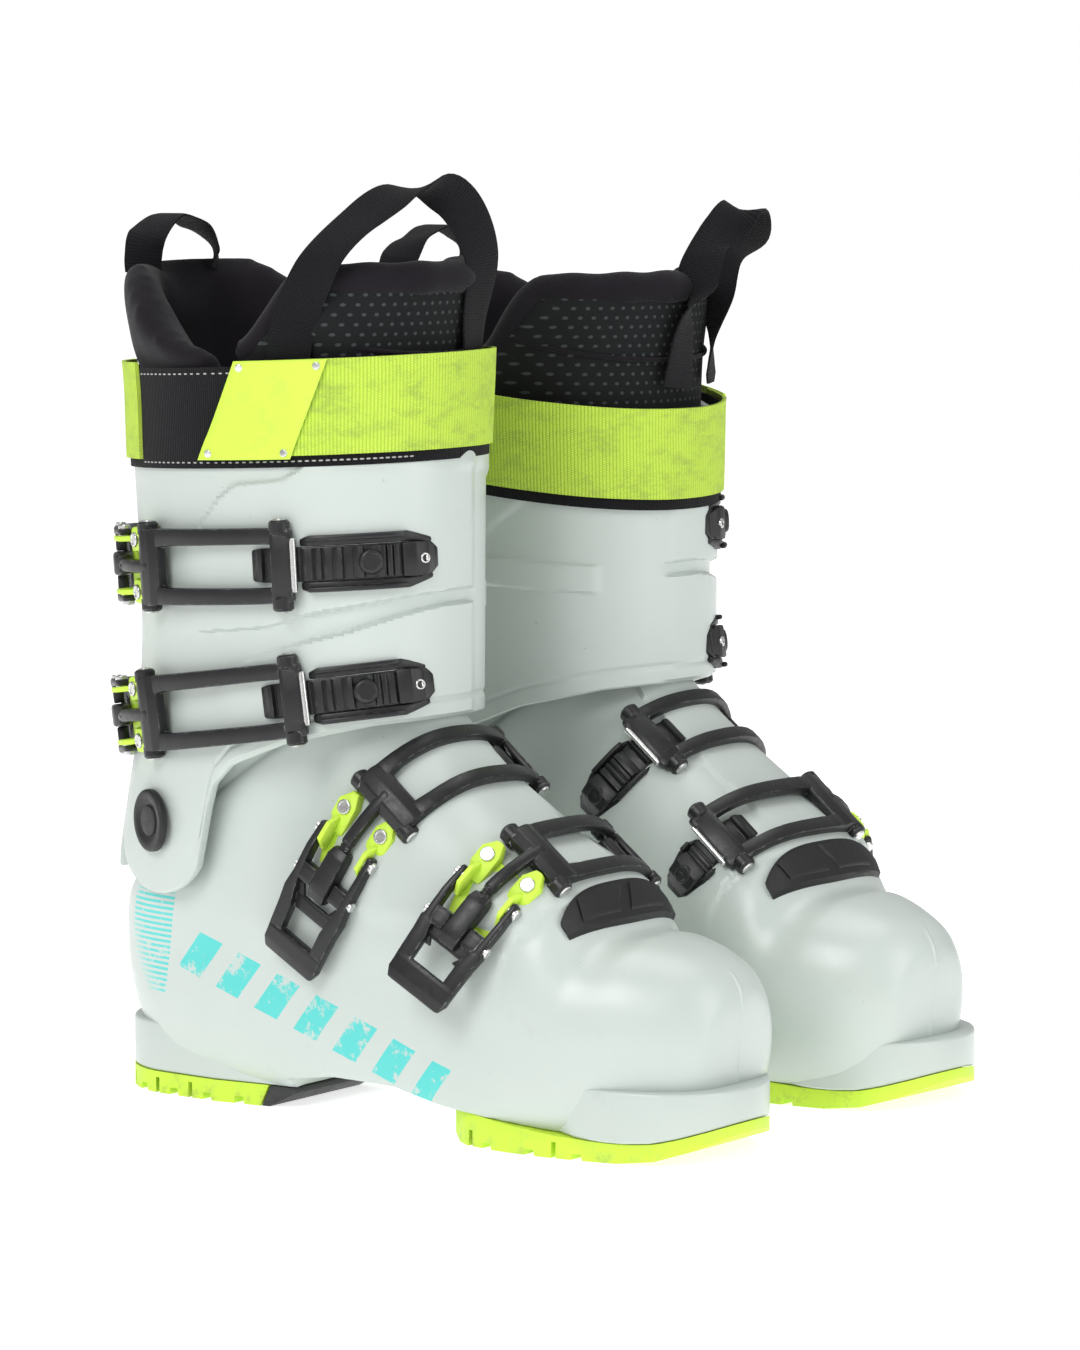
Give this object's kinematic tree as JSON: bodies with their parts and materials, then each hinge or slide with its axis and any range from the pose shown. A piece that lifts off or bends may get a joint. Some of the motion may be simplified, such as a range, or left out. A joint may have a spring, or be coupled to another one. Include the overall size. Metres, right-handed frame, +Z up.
{
  "type": "alpine ski boots",
  "caption": "Pair of alpine ski boots: rigid plastic shells with hinged cuffs, padded liners, lever buckles with toothed racks, a strap round each shaft, and screwed-on rocker soles.",
  "frame": {"origin": "on the floor under the middle of the pair's box", "axes": "+X to the toes, +Y to the wearer's left, +Z up"},
  "size_m": [0.3144, 0.2914, 0.3803],
  "materials": {
    "shell": "pale grey-green moulded plastic, satin, scuffed at the toe",
    "sole": "fluorescent lime moulded sole, matt",
    "black_plastic": "black moulded plastic",
    "lime_plastic": "fluorescent lime moulded plastic",
    "buckle": "black coated cast metal, worn bright on its edges",
    "liner": "black padded fabric with a velvet collar",
    "webbing": "black ribbed webbing",
    "strap": "lime ribbed webbing over a black stitched base"
  },
  "bodies": {
    "right_shell_body": {"right_heel_sole": "sole", "right_toe_sole": "sole", "right_lower_shell": "shell", "right_toe_insert": "black_plastic", "right_pivot_rivet_outer": "black_plastic", "right_pivot_rivet_inner": "black_plastic", "right_liner_foot": "liner", "right_toe_rack": "buckle", "right_toe_buckle_base": "lime_plastic", "right_instep_rack": "buckle", "right_instep_buckle_base": "lime_plastic"},
    "right_cuff_body": {"right_cuff": "shell", "right_liner_shaft": "liner", "right_tongue": "liner", "right_tongue_loop": "webbing", "right_rear_loop": "webbing", "right_power_strap": "strap", "right_strap_tab": "lime_plastic", "right_lower_cuff_rack": "buckle", "right_lower_cuff_buckle_base": "lime_plastic", "right_upper_cuff_rack": "buckle", "right_upper_cuff_buckle_base": "lime_plastic"},
    "right_toe_lever_body": {"right_toe_lever": "buckle"},
    "right_toe_bail_body": {"right_toe_bail": "buckle"},
    "right_instep_lever_body": {"right_instep_lever": "buckle"},
    "right_instep_bail_body": {"right_instep_bail": "buckle"},
    "right_lower_cuff_lever_body": {"right_lower_cuff_lever": "buckle"},
    "right_lower_cuff_bail_body": {"right_lower_cuff_bail": "buckle"},
    "right_upper_cuff_lever_body": {"right_upper_cuff_lever": "buckle"},
    "right_upper_cuff_bail_body": {"right_upper_cuff_bail": "buckle"},
    "left_shell_body": {"left_heel_sole": "sole", "left_toe_sole": "sole", "left_lower_shell": "shell", "left_toe_insert": "black_plastic", "left_pivot_rivet_outer": "black_plastic", "left_pivot_rivet_inner": "black_plastic", "left_liner_foot": "liner", "left_toe_rack": "buckle", "left_toe_buckle_base": "lime_plastic", "left_instep_rack": "buckle", "left_instep_buckle_base": "lime_plastic"},
    "left_cuff_body": {"left_cuff": "shell", "left_liner_shaft": "liner", "left_tongue": "liner", "left_tongue_loop": "webbing", "left_rear_loop": "webbing", "left_power_strap": "strap", "left_strap_tab": "lime_plastic", "left_lower_cuff_rack": "buckle", "left_lower_cuff_buckle_base": "lime_plastic", "left_upper_cuff_rack": "buckle", "left_upper_cuff_buckle_base": "lime_plastic"},
    "left_toe_lever_body": {"left_toe_lever": "buckle"},
    "left_toe_bail_body": {"left_toe_bail": "buckle"},
    "left_instep_lever_body": {"left_instep_lever": "buckle"},
    "left_instep_bail_body": {"left_instep_bail": "buckle"},
    "left_lower_cuff_lever_body": {"left_lower_cuff_lever": "buckle"},
    "left_lower_cuff_bail_body": {"left_lower_cuff_bail": "buckle"},
    "left_upper_cuff_lever_body": {"left_upper_cuff_lever": "buckle"},
    "left_upper_cuff_bail_body": {"left_upper_cuff_bail": "buckle"}
  },
  "joints": [
    {"name": "boot_spacing", "type": "slide", "parent": "right_shell_body", "child": "left_shell_body", "axis": [0, 1, 0], "range_m": [0, 0.15]},
    {"name": "right_cuff_flex", "type": "hinge", "parent": "right_shell_body", "child": "right_cuff_body", "pos_m": [-0.10563, -0.07974, 0.119], "axis": [-0.0375, 0.9993, 0], "range_deg": [0, 3], "stiffness_Nm_per_rad": 200},
    {"name": "right_toe_lever", "type": "hinge", "parent": "right_shell_body", "child": "right_toe_lever_body", "pos_m": [0.0639, -0.12057, 0.10338], "axis": [-0.8554, -0.114, 0.5053], "range_deg": [0, 110]},
    {"name": "right_toe_bail", "type": "hinge", "parent": "right_toe_lever_body", "child": "right_toe_bail_body", "pos_m": [0.05672, -0.13034, 0.08902], "axis": [-0.8554, -0.114, 0.5053], "range_deg": [-127, 0]},
    {"name": "right_instep_lever", "type": "hinge", "parent": "right_shell_body", "child": "right_instep_lever_body", "pos_m": [-0.00515, -0.1259, 0.11598], "axis": [-0.8724, -0.0212, 0.4883], "range_deg": [0, 110]},
    {"name": "right_instep_bail", "type": "hinge", "parent": "right_instep_lever_body", "child": "right_instep_bail_body", "pos_m": [-0.01404, -0.12924, 0.09994], "axis": [-0.8724, -0.0212, 0.4883], "range_deg": [-127, 0]},
    {"name": "right_lower_cuff_lever", "type": "hinge", "parent": "right_cuff_body", "child": "right_lower_cuff_lever_body", "pos_m": [-0.12405, -0.12823, 0.16042], "axis": [-0.1482, -0.0056, 0.9889], "range_deg": [0, 110]},
    {"name": "right_lower_cuff_bail", "type": "hinge", "parent": "right_lower_cuff_lever_body", "child": "right_lower_cuff_bail_body", "pos_m": [-0.13888, -0.11517, 0.15827], "axis": [-0.1482, -0.0056, 0.9889], "range_deg": [-127, 0]},
    {"name": "right_upper_cuff_lever", "type": "hinge", "parent": "right_cuff_body", "child": "right_upper_cuff_lever_body", "pos_m": [-0.1225, -0.1287, 0.22331], "axis": [-0.0648, -0.0024, 0.9979], "range_deg": [0, 110]},
    {"name": "right_upper_cuff_bail", "type": "hinge", "parent": "right_upper_cuff_lever_body", "child": "right_upper_cuff_bail_body", "pos_m": [-0.13713, -0.11527, 0.22239], "axis": [-0.0648, -0.0024, 0.9979], "range_deg": [-127, 0]},
    {"name": "left_cuff_flex", "type": "hinge", "parent": "left_shell_body", "child": "left_cuff_body", "pos_m": [-0.10563, 0.07974, 0.119], "axis": [0.0375, 0.9993, 0], "range_deg": [0, 3], "stiffness_Nm_per_rad": 200},
    {"name": "left_toe_lever", "type": "hinge", "parent": "left_shell_body", "child": "left_toe_lever_body", "pos_m": [0.0639, 0.12057, 0.10338], "axis": [0.8554, -0.114, -0.5053], "range_deg": [0, 110]},
    {"name": "left_toe_bail", "type": "hinge", "parent": "left_toe_lever_body", "child": "left_toe_bail_body", "pos_m": [0.05672, 0.13034, 0.08902], "axis": [0.8554, -0.114, -0.5053], "range_deg": [-127, 0]},
    {"name": "left_instep_lever", "type": "hinge", "parent": "left_shell_body", "child": "left_instep_lever_body", "pos_m": [-0.00515, 0.1259, 0.11598], "axis": [0.8724, -0.0212, -0.4883], "range_deg": [0, 110]},
    {"name": "left_instep_bail", "type": "hinge", "parent": "left_instep_lever_body", "child": "left_instep_bail_body", "pos_m": [-0.01404, 0.12924, 0.09994], "axis": [0.8724, -0.0212, -0.4883], "range_deg": [-127, 0]},
    {"name": "left_lower_cuff_lever", "type": "hinge", "parent": "left_cuff_body", "child": "left_lower_cuff_lever_body", "pos_m": [-0.12405, 0.12823, 0.16042], "axis": [0.1482, -0.0056, -0.9889], "range_deg": [0, 110]},
    {"name": "left_lower_cuff_bail", "type": "hinge", "parent": "left_lower_cuff_lever_body", "child": "left_lower_cuff_bail_body", "pos_m": [-0.13888, 0.11517, 0.15827], "axis": [0.1482, -0.0056, -0.9889], "range_deg": [-127, 0]},
    {"name": "left_upper_cuff_lever", "type": "hinge", "parent": "left_cuff_body", "child": "left_upper_cuff_lever_body", "pos_m": [-0.1225, 0.1287, 0.22331], "axis": [0.0648, -0.0024, -0.9979], "range_deg": [0, 110]},
    {"name": "left_upper_cuff_bail", "type": "hinge", "parent": "left_upper_cuff_lever_body", "child": "left_upper_cuff_bail_body", "pos_m": [-0.13713, 0.11527, 0.22239], "axis": [0.0648, -0.0024, -0.9979], "range_deg": [-127, 0]}
  ],
  "couplings": [
    {"joint": "right_toe_bail", "follows": "right_toe_lever", "ratio": -1.15},
    {"joint": "right_instep_bail", "follows": "right_instep_lever", "ratio": -1.15},
    {"joint": "right_lower_cuff_bail", "follows": "right_lower_cuff_lever", "ratio": -1.15},
    {"joint": "right_upper_cuff_bail", "follows": "right_upper_cuff_lever", "ratio": -1.15},
    {"joint": "left_toe_bail", "follows": "left_toe_lever", "ratio": -1.15},
    {"joint": "left_instep_bail", "follows": "left_instep_lever", "ratio": -1.15},
    {"joint": "left_lower_cuff_bail", "follows": "left_lower_cuff_lever", "ratio": -1.15},
    {"joint": "left_upper_cuff_bail", "follows": "left_upper_cuff_lever", "ratio": -1.15}
  ]
}
